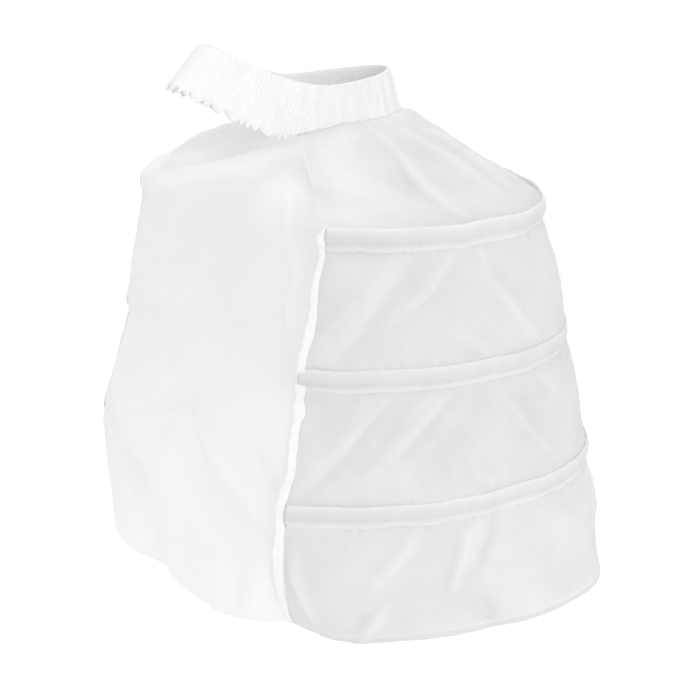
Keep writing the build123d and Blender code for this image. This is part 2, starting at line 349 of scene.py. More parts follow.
def chart_path(a, b, path):
    """A path of places, each a share across from -1 to 1 and a part down from 0 to 1, on that chart."""
    rows, columns = a.shape
    found = []
    for share, down in path:
        r = min(max(down, 0), 1) * (rows - 1)
        c = (min(max(share, -1), 1) + 1) / 2 * (columns - 1)
        r0, c0 = min(int(r), rows - 2), min(int(c), columns - 2)
        u, v = r - r0, c - c0
        corners = [(0, 0, (1 - u) * (1 - v)), (0, 1, (1 - u) * v), (1, 0, u * (1 - v)), (1, 1, u * v)]
        found.append([sum(m[r0 + i, c0 + j] * w for i, j, w in corners) for m in (a, b)])
    return np.array(found)


print("grid helpers ready")

# %% Folds and smooth chance
wave_count = 14


def softened(lift, rounds):
    """A grid of heights with its sharpest corners rubbed down."""
    for _ in range(rounds):
        padded = np.pad(lift, 1, mode="edge")
        around = padded[:-2, 1:-1] + padded[2:, 1:-1] + padded[1:-1, :-2] + padded[1:-1, 2:]
        lift = lift * 0.5 + around * 0.125
    return lift


def chance_waves(a, b, wave, seed):
    """Soft irregular waves over a plane, about one wavelength apart and between about -1 and 1."""
    dice = np.random.default_rng(seed)
    total = a * 0.0
    for _ in range(wave_count):
        bearing, phase = dice.uniform(0, 2 * math.pi, 2)
        pace = 2 * math.pi / (wave * dice.uniform(0.75, 1.5))
        total = total + np.sin(pace * (a * math.cos(bearing) + b * math.sin(bearing)) + phase)
    return total / math.sqrt(wave_count / 2)


def wave_mix(a, b, sorts, seed):
    """Soft waves of several sorts added up; each sort is a height and a wavelength in millimetres."""
    return sum(tall * chance_waves(a, b, wave, seed + i) for i, (tall, wave) in enumerate(sorts))


def hump(distance, width):
    """A smooth rise, 1 at no distance, that fades over a width."""
    return np.exp(-((distance / width) ** 2))


def fold_stroke(a, b, path, width, height, steep):
    """The height of one fold laid along a path; steep from -1 to 1 says which side drops away sharply."""
    best = np.full(a.shape, 1e9)
    side = np.zeros(a.shape)
    part = np.zeros(a.shape)
    runs = np.linalg.norm(np.diff(path, axis=0), axis=1)
    done = 0.0
    for start, stop, run in zip(path, path[1:], runs):
        step = (stop - start) / run
        t = np.clip((a - start[0]) * step[0] + (b - start[1]) * step[1], 0, run)
        da = a - start[0] - t * step[0]
        db = b - start[1] - t * step[1]
        gap = np.hypot(da, db)
        near = gap < best
        best = np.where(near, gap, best)
        side = np.where(near, np.sign(step[0] * db - step[1] * da), side)
        part = np.where(near, (done + t) / runs.sum(), part)
        done += run
    reach = width * (1 - 0.62 * steep * side)
    crest = hump(best, reach)
    trough = hump(best - 1.5 * width, width) * 0.35 * np.clip(steep * side, 0, 1)
    ends = np.sin(math.pi * np.clip(part * 0.86 + 0.07, 0, 1)) ** 0.7
    return height * ends * (crest - trough)


print("fold helpers ready")

# %% [markdown]
# ## The outer panel
# The outer panel is cut in four tiers that are sewn to the hoop casings. Each is a little fuller than the
# gap that it spans, so it swells, and slanting folds run from the casings where the hoops pull on it. The
# folds on the near side follow the ones on the real cage. The others are their like, dealt out by a seed.

# %% Folds of the outer panel
tier_rows = 61
tier_columns = 601
near_folds = {
    "yoke_panel": [
        (
            [(0.62, 0.12), (0.675, 0.34), (0.728, 0.58), (0.742, 0.75), (0.732, 0.87), (0.70, 1.0)],
            14, 6.0, 0.9,
        ),
        ([(0.69, 0.0), (0.71, 0.25), (0.76, 0.5)], 22, 6.0, 0.0),
        ([(0.88, 0.1), (0.92, 0.5), (0.96, 0.95)], 24, 3.0, 0.5),
        ([(0.30, 0.10), (0.40, 0.45), (0.50, 0.85)], 12, 5.0, 0.6),
        ([(0.46, 0.06), (0.52, 0.45), (0.57, 0.8)], 18, 4.0, 0.3),
    ],
    "upper_tier_panel": [
        ([(0.965, 0.97), (0.911, 0.48), (0.855, 0.04)], 16, 4.5, 0.5),
        ([(0.885, 0.66), (0.801, 0.33), (0.768, 0.09), (0.74, 0.0)], 9, 3.0, 0.6),
        ([(0.69, 0.28), (0.626, 0.66), (0.565, 1.0)], 13, 3.5, -0.5),
        ([(0.75, 0.70), (0.665, 1.0)], 9, 2.2, -0.3),
        ([(0.985, 0.80), (0.935, 0.45)], 6, 1.6, 0.6),
        ([(0.715, 0.0), (0.70, 0.22)], 7, 3.0, 0.7),
        ([(0.68, 0.0), (0.675, 0.16)], 5, 2.2, 0.5),
    ],
    "middle_tier_panel": [
        ([(1.0, 1.0), (0.926, 0.53), (0.855, 0.05)], 8, 5.0, 0.9),
        ([(0.855, 0.60), (0.798, 0.29), (0.742, 0.0)], 9, 5.0, 0.9),
        ([(0.85, 0.36), (0.768, 0.0)], 7, 2.6, 0.6),
        ([(0.685, 0.0), (0.621, 0.48), (0.56, 0.95)], 10, 3.6, -0.4),
        ([(0.585, 0.0), (0.54, 0.42)], 8, 2.5, 0.4),
        ([(0.73, 0.74), (0.685, 1.0)], 8, 2.5, 0.5),
        ([(0.92, 0.32), (0.88, 0.0)], 8, 2.0, 0.5),
        ([(0.93, 0.85), (0.87, 0.5), (0.82, 0.15)], 10, -2.5, 0.0),
        ([(0.80, 0.78), (0.72, 0.35), (0.69, 0.1)], 24, -3.5, 0.0),
    ],
    "hem_tier_panel": [
        ([(0.815, 0.0), (0.826, 0.19), (0.87, 0.48)], 11, 4.0, 0.7),
        ([(0.715, 0.0), (0.741, 0.17), (0.757, 0.62)], 9, 5.0, 0.8),
        ([(0.85, 0.70), (0.885, 1.0)], 10, 5.0, 0.8),
        ([(0.99, 0.25), (0.985, 0.55), (0.955, 0.9)], 12, 6.0, 0.5),
        ([(0.69, 0.03), (0.70, 0.25), (0.72, 0.5)], 10, -4.0, 0.0),
        ([(0.71, 0.72), (0.69, 1.0)], 18, -4.0, 0.0),
    ],
}
fold_count = sum(len(strokes) for strokes in near_folds.values())
print("folds on the near side", fold_count)

# %% Folds of the back and the far side
chance_seed = {"yoke_panel": 3, "upper_tier_panel": 5, "middle_tier_panel": 8, "hem_tier_panel": 13}
fold_starts = (-1.0, -0.55, -0.1)
fold_offset = 0.22
fold_shift = 0.09
near_middle = 0.78
farthest, nearest = -1.02, 0.45


def far_folds(strokes, seed):
    """Folds like the near ones for the back and the far side of the cage."""
    dice = np.random.default_rng(seed)
    dealt = []
    for path, width, height, steep in strokes:
        for start in fold_starts:
            shift = dice.uniform(-fold_shift, fold_shift)
            flip = dice.choice([-1, 1])
            shares = [start + fold_offset + flip * (share - near_middle) + shift for share, _ in path]
            moved = [(share, down) for share, (_, down) in zip(shares, path)]
            if min(shares) > farthest and max(shares) < nearest:
                new_width = width * dice.uniform(0.8, 1.3)
                new_height = height * dice.uniform(0.6, 1.0)
                dealt.append((moved, new_width, new_height, steep * flip))
    return dealt


dealt_count = sum(len(far_folds(near_folds[name], chance_seed[name])) for name in tier_names)
print("folds on the back and the far side", dealt_count)

# %% [markdown]
# ## Where the cloth is loose
# Nothing holds the cloth below the bottom hoop, so the hem swings. Its near corner turns inward, its far
# corner comes forward, and behind it kicks out and lifts. The far front edge of the yoke puffs up too.
# Each is a push in one direction that fades away from its place.

# %% Puff and sway
hem_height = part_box("hem_tier_panel")[0][2]
yoke_low, yoke_top = (corner[2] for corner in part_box("yoke_panel"))
hem_centre_y = 0.05


def pushed(points, amount, shift):
    """Points moved by a shift in metres, each by its own amount."""
    return points + amount[..., None] * np.array(shift)


def yoke_part(points):
    """How high points stand in the yoke, 0 at the top hoop and below and 1 at the waistband."""
    return np.clip((points[..., 2] - yoke_low) / (yoke_top - yoke_low), 0, 1)


def shoulder_puff(points, from_edge, share):
    """The far front edge of the yoke, puffed up between the waistband and the top hoop."""
    push = np.sin(math.pi * yoke_part(points) ** 1.2) ** 1.6 * hump(from_edge, 70) * (share < 0)
    return pushed(points, push, [-0.002, -0.003, 0.011])


def hem_sway(points, from_edge, share):
    """The loose hem, swung at its two corners and behind."""
    loose_drop = hoop_heights["bottom"] - hem_height
    loose = np.clip((hoop_heights["bottom"] - points[..., 2]) / loose_drop, 0, 1)
    bearing = np.arctan2(points[..., 0], points[..., 1] - hem_centre_y)
    near = hump(from_edge, 60) * (share > 0) * loose ** 2.5
    droop = hump(from_edge - 70, 60) * (share > 0) * loose ** 2.5
    kick = hump(bearing - 1.12, 0.28) * loose ** 1.4
    hitch = hump(bearing - 1.66, 0.3) * loose ** 1.4
    far = hump(from_edge, 80) * (share < 0) * loose ** 0.8
    points = pushed(points, near, [0.012, 0.013, 0.003])
    points = pushed(points, droop, [0, 0, -0.006])
    points = pushed(points, kick, [0.009, 0.009, -0.002])
    points = pushed(points, hitch, [0, 0, 0.009])
    return pushed(points, far, [-0.004, -0.020, -0.004])


print("hem at", round(hem_height, 3), "yoke from", round(yoke_low, 3), "to", round(yoke_top, 3))

# %% [markdown]
# ## Making the tiers
# A tier starts straight between its two seams, with its edges tucked under the casings. Then it swells,
# and the folds are laid on it. Close to a casing the folds die out and short puckers take over, as they
# do where a stitched seam grips thin cloth.

# %% Straight tiers and their swell
swell = {"yoke_panel": 5.0, "upper_tier_panel": 6.0, "middle_tier_panel": 3.0, "hem_tier_panel": 3.0}
tucked_under = 0.008


def straight_tier(name, upper, lower, down):
    """The grid of one tier, straight between its two seams."""
    low_box, high_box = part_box(name)
    points = evenly(upper, tier_columns)[None] * (1 - down[..., None])
    points = points + evenly(lower, tier_columns)[None] * down[..., None]
    top = high_box[2] + (0 if name == "yoke_panel" else tucked_under)
    foot = low_box[2] - (0 if name == "hem_tier_panel" else tucked_under / 2)
    points[..., 2] = top + (foot - top) * down
    return points


def belly(name, down, share):
    """How far a tier swells between its seams, in millimetres; the yoke most behind and at its top."""
    if name == "yoke_panel":
        behind = 1 + hump(share - 0.3, 0.3)
        return np.sin(math.pi * down ** 0.8) ** 1.5 * swell[name] * behind + 6.0 * np.exp(-down * 8)
    held = 0.72 if name == "hem_tier_panel" else 1
    return np.sin(math.pi * down * held) ** 0.8 * swell[name]


print("swell", swell)

# %% Folded tiers
# Each tier's level of painted tone; the middle tier gets the most painted shade.
tier_painted_tone = {"yoke_panel": 0.35, "upper_tier_panel": 0.4, "middle_tier_panel": 0.22, "hem_tier_panel": 0.32}
slack_waves = [(1.4, 130), (0.3, 34)]
pucker_waves = [(1.0, 11), (0.6, 6)]
pucker_rise = 0.9
pucker_start = 2
pucker_reach = 7
covered = 5.0
calm_reach = 8
edge_reach = 14
shoulder_reach = 45
fold_narrowing = 0.6
fold_rise = 1.3
tone_rounds = 500
tone_height = 4.5


def grip(clear):
    """How strongly a seam puckers the cloth at some distance clear of it."""
    return np.exp(-clear / pucker_reach) * (1 - np.exp(-clear / pucker_start))


def tier_points(name, upper, lower):
    """The grid of one tier, swollen, folded and puckered, and its painted light and shade: lighter on fold
    ridges, darker in valleys.
    """
    hem = name == "hem_tier_panel"
    yoke = name == "yoke_panel"
    down = np.linspace(0, 1, tier_rows)[:, None]
    share = np.linspace(-1, 1, tier_columns)[None, :]
    points = straight_tier(name, upper, lower, down)
    a, b = cloth_chart(points)
    from_edge = abs(a[:, -1:]) - abs(a)
    seed = chance_seed[name]
    lift = wave_mix(a, b, slack_waves, seed)
    for path, width, height, steep in near_folds[name] + far_folds(near_folds[name], seed):
        path = chart_path(a, b, path)
        lift += fold_stroke(a, b, path, fold_narrowing * width, fold_rise * height, -steep)
    above = b if yoke else np.maximum(b - covered, 0)
    below = np.maximum(b[-1:] - b - covered, 0)
    calm = (1 - np.exp(-above / calm_reach)) * (1 if hem else 1 - np.exp(-below / calm_reach))
    gripped = grip(above) if hem else grip(above) + grip(below)
    pucker = wave_mix(a, b * 0.1, pucker_waves, seed + 2)
    folds = softened(lift, 3) * calm
    # Painted highlight on fold ridges and painted shade in fold valleys, round each tier's painted tone.
    painted_light_and_doubling = tier_painted_tone[name] + 0.5 * np.tanh((folds - softened(folds, tone_rounds)) / tone_height)
    lift = folds + pucker_rise * pucker * gripped + belly(name, down, share) * calm ** 0.5
    side = 1 - np.exp(-from_edge / np.where((share < 0) & yoke, shoulder_reach, edge_reach))
    points = points + normals(points) * (lift * side / 1000)[..., None]
    points = shoulder_puff(points, from_edge, share)
    return (hem_sway(points, from_edge, share) if hem else points), painted_light_and_doubling


print("tier_painted_tone", tier_painted_tone)

# %% Tiers of the outer panel
hem_white = 0.8
hem_white_rows = 9
hem_behind = np.array([0.0012, 0.0022, 0.0020, 0.0016])[:, None]
hem_turn_up = np.array([0.0, 0.001, 0.004, 0.007])[:, None]


def yoke_painted_light(painted_light_and_doubling):
    """Painted light on the yoke just below the waistband, where the band shades it, and at the near front,
    which lies double and gets painted light too.
    """
    down = np.linspace(0, 1, tier_rows)[:, None]
    share = np.linspace(-1, 1, tier_columns)[None, :]
    doubled_and_lit_front = np.clip((share - 0.70 - 0.12 * down) / 0.08, 0, 1)
    return np.clip(np.maximum(painted_light_and_doubling, np.exp(-down * 5)) + 0.6 * doubled_and_lit_front * (1 - 0.5 * down), 0, 1)


def turned_hem(points, painted_light_and_doubling):
    """The hem with its edge turned up behind, so that a narrow white line shows along it."""
    crisp = points[-1:] * 0.9 + points[-2:-1] * 0.1
    points = np.concatenate([points[:-1], crisp, points[-1:]])
    turned = points[-1:] - normals(points)[-1:] * hem_behind[..., None]
    turned[:, :, 2] += hem_turn_up
    points = np.concatenate([points, turned])
    painted_light_and_doubling = np.concatenate([painted_light_and_doubling, np.full((len(points) - len(painted_light_and_doubling), tier_columns), hem_white)])
    painted_light_and_doubling[-hem_white_rows:] = hem_white
    return points, painted_light_and_doubling


tiers = {}
for name, upper, lower in zip(tier_names, seams, seams[1:]):
    points, painted_light_and_doubling = tier_points(name, upper, lower)
    if name == "yoke_panel":
        painted_light_and_doubling = yoke_painted_light(painted_light_and_doubling)
    if name == "hem_tier_panel":
        points, painted_light_and_doubling = turned_hem(points, painted_light_and_doubling)
    tiers[name] = mark_layers_and_painted_light(cloth_grid("sheer_" + name, points), painted_light_and_doubling.ravel())
    print(name, len(tiers[name].data.polygons), "faces")

# %% [markdown]
# ## The inner panel
# The inner panel closes the cage against the wearer. It is sewn to the back half of the waistband, comes
# forward over the ends of the top hoop and hangs from there to the hem, where it swings free and bows
# forward. It is one sheet of rows, each stretched between the two side edges.

# %% Side edges of the cage
heights = [(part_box(name)[1][2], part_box(name)[0][2]) for name in tier_names]
edge_heights = np.array([z for pair in heights for z in pair])
edge_places = np.array([seams[i + k][-1, :2] for i in range(len(tier_names)) for k in (0, 1)])


def edge_at(height):
    """The left side edge of the cage at some heights."""
    x = np.interp(-height, -edge_heights, edge_places[:, 0])
    y = np.interp(-height, -edge_heights, edge_places[:, 1])
    return np.stack([x, y, height], axis=-1)


print("side edge", edge_at(np.array([hoop_heights["top"], hoop_heights["bottom"]])).round(3).tolist())

# %% Inner panel
shoulder_rows = 50
fall_rows = 120
inner_columns = 121
inner_bow = 0.036
crease_rounds = 120


def inner_points():
    """The grid of the inner panel, before its folds, with the crease at the top hoop rounded off."""
    shoulder = np.linspace(yoke_top, yoke_low, shoulder_rows)
    height = np.concatenate([shoulder, np.linspace(yoke_low, hem_height, fall_rows)[1:]])
    share = np.linspace(-1, 1, inner_columns)[None, :]
    edge = edge_at(np.minimum(height, yoke_low))
    fall = (np.maximum(yoke_low - height, 0) / (yoke_low - hem_height))[:, None]
    bow = inner_bow * fall ** 2 * (1 - share ** 4)
    foot = np.stack([edge[:, :1] * share, edge[:, 1:2] - bow, height[:, None] + share * 0], axis=2)
    part = np.clip((yoke_top - height) / (yoke_top - yoke_low), 0, 1)[:, None]
    ease = ((1 - (1 - part) ** 1.5) * (1 - share ** 2) + part * share ** 2)[..., None]
    points = evenly(seams[0], inner_columns)[None] * (1 - ease) + foot * ease
    points[..., 2] = height[:, None]
    eased = points.copy()
    for _ in range(crease_rounds):
        eased[1:-1] = eased[1:-1] * 0.5 + (eased[:-2] + eased[2:]) * 0.25
    return points + (eased - points) * (1 - share ** 8)[..., None]


def inner_place(share, drop):
    """A place on the inner panel, from a share of its whole drop to a part of its rows."""
    height = yoke_top + (hem_height - yoke_top) * drop
    if height > yoke_low:
        row = (yoke_top - height) / (yoke_top - yoke_low) * (shoulder_rows - 1)
    else:
        row = shoulder_rows - 1 + (yoke_low - height) / (yoke_low - hem_height) * (fall_rows - 1)
    return share, row / (shoulder_rows + fall_rows - 2)


print("inner panel rows", shoulder_rows + fall_rows - 1)

# %% Folds of the inner panel
inner_rise = 1.4
inner_waves = [(2.0, 170), (0.3, 40)]
inner_calm = 12
inner_folds = [
    ([(-0.9, 0.122), (-0.47, 0.08), (-0.33, 0.058), (0.1, 0.04), (0.8, 0.02)], 6, -5.0, 0.0),
    ([(-0.98, 0.147), (-0.4, 0.113), (-0.03, 0.10), (0.4, 0.07), (0.97, 0.035)], 11, 5.0, 0.3),
    ([(0.60, 0.14), (0.785, 0.25), (0.76, 0.31), (0.82, 0.358), (0.97, 0.41)], 7, 2.5, 0.4),
    ([(-0.98, 0.44), (-0.69, 0.402), (-0.2, 0.37)], 14, 3.0, 0.5),
    ([(-0.9, 0.67), (-0.365, 0.65), (0.1, 0.63)], 11, -3.0, 0.0),
    (
        [(-0.88, 0.66), (-0.67, 0.692), (-0.32, 0.747), (-0.08, 0.79), (0.0, 0.86), (0.03, 1.0)],
        20, 6.0, 0.4,
    ),
    ([(-0.85, 0.72), (-0.52, 0.80), (-0.335, 0.90), (-0.155, 1.0)], 14, -5.0, 0.0),
    ([(0.15, 0.63), (0.40, 0.675), (0.63, 0.70), (0.95, 0.74)], 12, 3.5, 0.4),
    ([(0.70, 0.60), (0.98, 0.69)], 14, -4.0, 0.0),
    ([(0.95, 0.78), (0.83, 0.86), (0.75, 1.0)], 12, 4.0, 0.4),
    ([(0.55, 0.86), (0.50, 1.0)], 12, 3.0, 0.3),
]
points = inner_points()
a, b = cloth_chart(points)
share = np.linspace(-1, 1, inner_columns)[None, :]
lift = wave_mix(a, b, inner_waves, 21)
for path, width, height, steep in inner_folds:
    path = chart_path(a, b, [inner_place(*place) for place in path])
    lift += fold_stroke(a, b, path, width, inner_rise * height, steep)
from_edge = abs(a[:, -1:]) - abs(a)
calm = (1 - np.exp(-from_edge / inner_calm)) * (1 - np.exp(-b / inner_calm))
folds = softened(lift, 3) * calm
points = points - normals(points) * (folds / 1000)[..., None]
points = hem_sway(shoulder_puff(points, from_edge, share), from_edge, share)
lap = hump(from_edge, 60) * hump(yoke_part(points) - 0.2, 0.2) * (share < 0) * (b > 0)
points = pushed(points, lap, [-0.004, -0.001, 0.005])
print("inner folds", len(inner_folds))

# %% Painted light and shade of the inner panel
inner_painted_tone = 0.65
# Painted shade by the yoke's near edge, painted highlight and shade on the folds, and painted light on the
# shoulder below the waistband.
shaded = hump(share - 0.85, 0.25) * hump(b - 110, 60)
painted_light_and_doubling = inner_painted_tone * (1 - shaded) + 0.25 * np.tanh((folds - softened(folds, 300)) / 3)
lit_shoulder = np.exp(-((b / 150) ** 4)) * np.clip((0.8 - share) / 0.6, 0, 1)
inner_panel = cloth_grid("sheer_inner_panel", points)
mark_layers_and_painted_light(inner_panel, np.maximum(painted_light_and_doubling, lit_shoulder).ravel())
print("inner panel", len(inner_panel.data.polygons), "faces")

# %% [markdown]
# ## Hoop casings
# Each hoop runs in a channel of doubled cloth that stands proud of the panel, with a flat flange below
# its lower row of stitches. A section drawn round the hoop and carried along it makes both, and the
# stitches show as a row of small puckers where the channel is held down.

# %% Casings
casing_section = [
    (-1.7, 11.2), (-1.1, 10.4), (0.0, 9.0), (1.4, 6.6), (2.1, 3.2), (2.3, 0.0), (2.1, -3.2), (1.4, -6.2),
    (0.5, -8.0), (-0.4, -9.2), (-0.4, -10.4), (-0.2, -12.4), (-0.2, -14.4), (-0.6, -15.6), (-1.4, -15.8),
    (-2.2, -13.5), (-2.5, -10.0), (-2.8, -6.0), (-2.9, 0.0), (-2.8, 5.0), (-2.4, 9.2), (-1.9, 10.2),
]
panel_inset = 0.0019
casing_steps = 521
casing_waves = [(0.6, 90), (0.25, 14)]
seam_pucker = 0.26
plain_pucker = 0.1
cap_bulge = 0.5
cap_reach = 30
# Whiter rows of the casing: the flange lies double, and the top lip and upper side carry painted
# highlight.
white_rises = [-12, -9, -6, 6, 8, 10]
doubled_and_lit_whites = [0.6, 0.3, 0.0, 0.3, 0.4, 0.7]


def casing(place, line, seed):
    """The channel and flange round one hoop, closed at both ends and fuller over the near cap."""
    line = evenly(line, casing_steps)
    out = outward(line)
    run = np.linspace(0, length_of(line) * 1000, casing_steps)
    middle = line + out * panel_inset
    middle[:, 2] = hoop_heights[place]
    flat = run * 0
    drift = wave_mix(run, flat, casing_waves, seed + 2)
    capped = cap_bulge * np.exp(-(((run[-1] - run) / cap_reach) ** 4))
    rows, layers_and_painted_light = [], []
    for k, (proud, rise) in enumerate(casing_section):
        seam = rise > 9 or rise < -8
        sway = 0.4 * chance_waves(run, flat + 3 * k, 60, seed) * (proud > -0.9)
        pucker = (seam_pucker if seam else plain_pucker) * chance_waves(run, flat, 6, seed + 1)
        bulge = capped * max(proud, 0)
        row = middle + out * ((proud + bulge + sway + pucker) / 1000)[:, None]
        row[:, 2] += (rise + drift + 0.3 * pucker) / 1000
        rows.append(row)
        layers_and_painted_light.append([float(np.interp(rise, white_rises, doubled_and_lit_whites))] * (casing_steps + 2))
    points = np.array(rows + rows[:1])
    ends = points[:, [0, -1]].mean(axis=0)[None].repeat(len(points), axis=0)
    points = np.concatenate([ends[:, :1], points, ends[:, 1:]], axis=1)
    return mark_layers_and_painted_light(cloth_grid(f"casing_{place}", points), np.array(layers_and_painted_light + layers_and_painted_light[:1]).ravel())


casings = {p: casing(p, seams[i + 1], 31 + 5 * i) for i, p in enumerate(hoop_places)}
print("casings", [len(piece.data.polygons) for piece in casings.values()])

# %% [markdown]
# ## Side bindings
# A bright tape is folded over each side edge, where the outer and inner panels meet, from the top hoop to
# the hem. It is soft and pulled by the stitches, so its width wanders, and the capped hoop ends push
# small knobs out of it.

# %% Bindings
binding_steps = 401
binding_round = 18
knob_drops = [0.0, 0.036, 0.018]
knob_sizes = [0.7, 1.0, 0.4]
knob_growth = 2.2
knob_reach = 7.5
binding_above_hoop = 0.013
tape_half = 4.6
tape_limits = (2.4, 6.5)
tape_waves = [(0.8, 60), (0.3, 14)]
plump_waves = [(0.2, 40), (0.1, 9)]
flop_heights = [0.0, 0.03, 0.06, 0.16, 0.21, 0.36, 0.41, 0.478]
flops = [0.0, -5.0, -7.0, -7.0, 2.0, 2.5, -2.5, -8.0]


def binding(side, seed):
    """The folded tape down one side edge; side is 1 for the wearer's left and -1 for the right."""
    height = np.linspace(hoop_heights["top"] + binding_above_hoop, hem_height, binding_steps)
    bare = np.zeros(binding_steps)
    mirror = np.array([side, 1, 1])
    edge = hem_sway(edge_at(height) * mirror, bare, bare + side) * mirror
    facing = np.array([0.72, -0.69, 0.0])
    across = np.array([0.69, 0.72, 0.0])
    run = (height[0] - height) * 1000
    full = np.clip(run / 12, 0, 1)
    end = 1 - 0.6 * np.clip((run - run[-1] + 70) / 60, 0, 1)
    narrow = np.interp(run, [20, 60, 160], [0.6, 0.65, 1.0])

    def ragged(number):
        """Half the tape's width to one of its edges."""
        wide = np.clip(tape_half + wave_mix(run, bare, tape_waves, seed + number), *tape_limits)
        return (0.9 + wide * full) * end * narrow

    left, right = ragged(0), ragged(2)
    deep = (0.6 + (0.9 + wave_mix(run, bare, plump_waves, seed + 4)) * full) * end
    for place, drop, size in zip(hoop_places, knob_drops, knob_sizes):
        above = (height - hoop_heights[place] + drop) * 1000
        knob = knob_growth * (size * np.exp(-((above / knob_reach) ** 4)))
        left, right, deep = left + knob, right + knob, deep + knob
    stand = 0.6 + 1.6 * full
    flop = np.interp(height - hem_height, flop_heights, flops) * full
    if side < 0:
        left, right = 0.1 * left, right + 0.9 * left
        deep, stand, flop = deep * 0.6, stand * 0.5, bare
    ring = []
    for turn in np.linspace(0, 2 * math.pi, binding_round + 1):
        swing, climb = math.cos(turn), math.sin(turn)
        off = flop + np.sign(swing) * abs(swing) ** 0.7 * (right if swing > 0 else left)
        out = np.sign(climb) * abs(climb) ** 0.8 * deep + stand
        ring.append(edge + off[:, None] / 1000 * across + out[:, None] / 1000 * facing)
    points = np.array(ring)
    if side < 0:
        points = points[::-1] * mirror
    thin = np.clip((run - run[-1] + 110) / 70, 0, 1)
    piece = cloth_grid("binding_left" if side > 0 else "binding_right", points)
    return mark_layers_and_painted_light(piece, np.tile(thin, len(points)))


bindings = {"edge_binding_left": binding(1, 51), "edge_binding_right": binding(-1, 61)}
print("bindings", [piece.name for piece in bindings.values()])

# %% [markdown]
# ## Gathered waistband
# The waistband is a sleeve of nylon about half as long again as the flat elastic in it, so the elastic
# shirrs it into close upright pleats. Along its free front the sleeve's lower edge ends in a small frill.
# Rows are laid round the loop, down the outer face and up the inner one, and the pleats drift from row to
# row, as gathers do.

# %% Pleated sleeve
pleats = 146
sleeve_room = 2.0
outer_depth = 1.7
inner_depth = 1.0
frill = [
    (-0.03, 0.5, 0.8), (-0.06, 1.2, 0.5), (-0.10, 2.0, 0.2),
    (-0.12, 2.4, -0.1), (-0.10, 2.0, -0.3), (-0.05, 1.0, -0.6),
]


def sewn_down(rise):
    """How full the pleats are at a rise of 0 to 1, less toward the stitches at the foot and the top."""
    return math.sin(math.pi * (rise * 0.94 + 0.03)) ** 0.3


def pleated_sleeve():
    """Rows round the sleeve's outer face, its frill and its inner face, and how shaded the points are."""
    out = outward(np.concatenate([band_low[-3:], band_low, band_low[:3]]))[3:-3]
    part = np.arange(band_columns) / band_columns
    ring = band_loop * 1000 / (2 * math.pi)
    a, b = np.cos(2 * math.pi * part) * ring, np.sin(2 * math.pi * part) * ring
    free = np.clip(forward_low * 5 + 0.1, 0.1, 1)
    smooth_front = 1 - 0.7 * np.clip(forward_low * 2.2 - 0.9, 0, 1)
    notch = abs(np.sin(math.pi * pleats / 2 * part + 1.3 * chance_waves(a, b, 40, 74)))

    def row(rise, face, depth, flare=0.0):
        """One line round the sleeve: rise is 0 at its foot, 1 at its top; face is 1 outside, -1 inside."""
        drift = 0.6 * chance_waves(a + 2 * rise, b + 3 * rise, 26, 71)
        drift = drift + 0.6 * chance_waves(a, b + 9 * rise, 55, 72)
        ridge = abs(np.sin(math.pi * pleats * part + drift)) ** 0.7
        strength = np.clip(0.8 + 0.45 * chance_waves(a, b + 14 * rise, 20, 73), 0.2, 1.5)
        stand = face * (sleeve_room + depth * ridge * strength * smooth_front)
        stand = stand + flare * free * np.cos(math.pi * pleats / 2 * part + drift)
        if rise < 0:
            rise = (rise * free * (0.4 + 0.8 * notch))[:, None]
        # Painted shade in the pleat valleys and over the whole inner face; the free front is greyer as
        # single ungathered cloth and as painted shade that tones down its lamp light.
        valley = np.clip(1.1 - ridge * strength, 0, 1) * smooth_front
        shades.append(0.4 * valley + 0.45 * (1 - smooth_front) if face > 0 else valley * 0 + 1)
        return band_low * (1 - rise) + band_high * rise + out * (stand / 1000)[:, None]

    rows, shades = [], []
    for rise in np.linspace(1.0, 0.0, 19):
        rows.append(row(rise, 1, outer_depth * sewn_down(rise)))
    for rise, flare, face in frill:
        rows.append(row(rise, face, inner_depth, flare))
    for rise in np.linspace(0.0, 1.0, 13):
        rows.append(row(rise, -1, inner_depth * sewn_down(rise)))
    return np.array(rows + rows[:1]), np.array(shades + shades[:1])


sleeve, sleeve_shade = pleated_sleeve()
waistband = mark_layers_and_painted_light(cloth_grid("gathered_waistband", sleeve, closed=True), sleeve_shade.ravel())
print("waistband", len(waistband.data.polygons), "faces")

# %% [markdown]
# ## Label
# A plain woven tab is sewn inside the waistband. It is left blank. Its lower edge is free, so it curls a
# little away from the elastic. Its place and its tilt are read from its solid's corners.

# %% Label
tab_thickness = 0.0006
tab_corners = np.array([v.co[:] for v in nodes["blank_label"].data.vertices])
tab_middle = (tab_corners.max(axis=0) + tab_corners.min(axis=0)) / 2
tab_axes = np.linalg.svd(tab_corners - tab_corners.mean(axis=0))[2]
tab_along = tab_axes[0]
tab_up = tab_axes[1] * np.sign(tab_axes[1][2])
tab_out = tab_axes[2] * np.sign(tab_axes[2][0])
tab_half_width = abs((tab_corners - tab_middle) @ tab_along).max()
tab_half_drop = abs((tab_corners - tab_middle) @ tab_up).max()
across = np.linspace(-1, 1, 25)[None, :, None]
rise = np.linspace(1, -1, 13)[:, None, None]
curl = 0.0004 + 0.0006 * (1 - rise) ** 2 * (1 + 0.3 * np.cos(3 * across))
tab_face = tab_middle + across * tab_half_width * tab_along + rise * tab_half_drop * tab_up
tab_face = tab_face + curl * tab_out
tab_back = tab_face - tab_thickness * tab_out
label = cloth_grid("blank_tab", np.concatenate([tab_face, tab_back[::-1], tab_face[:1]]))
print("label", tab_middle.round(3).tolist())

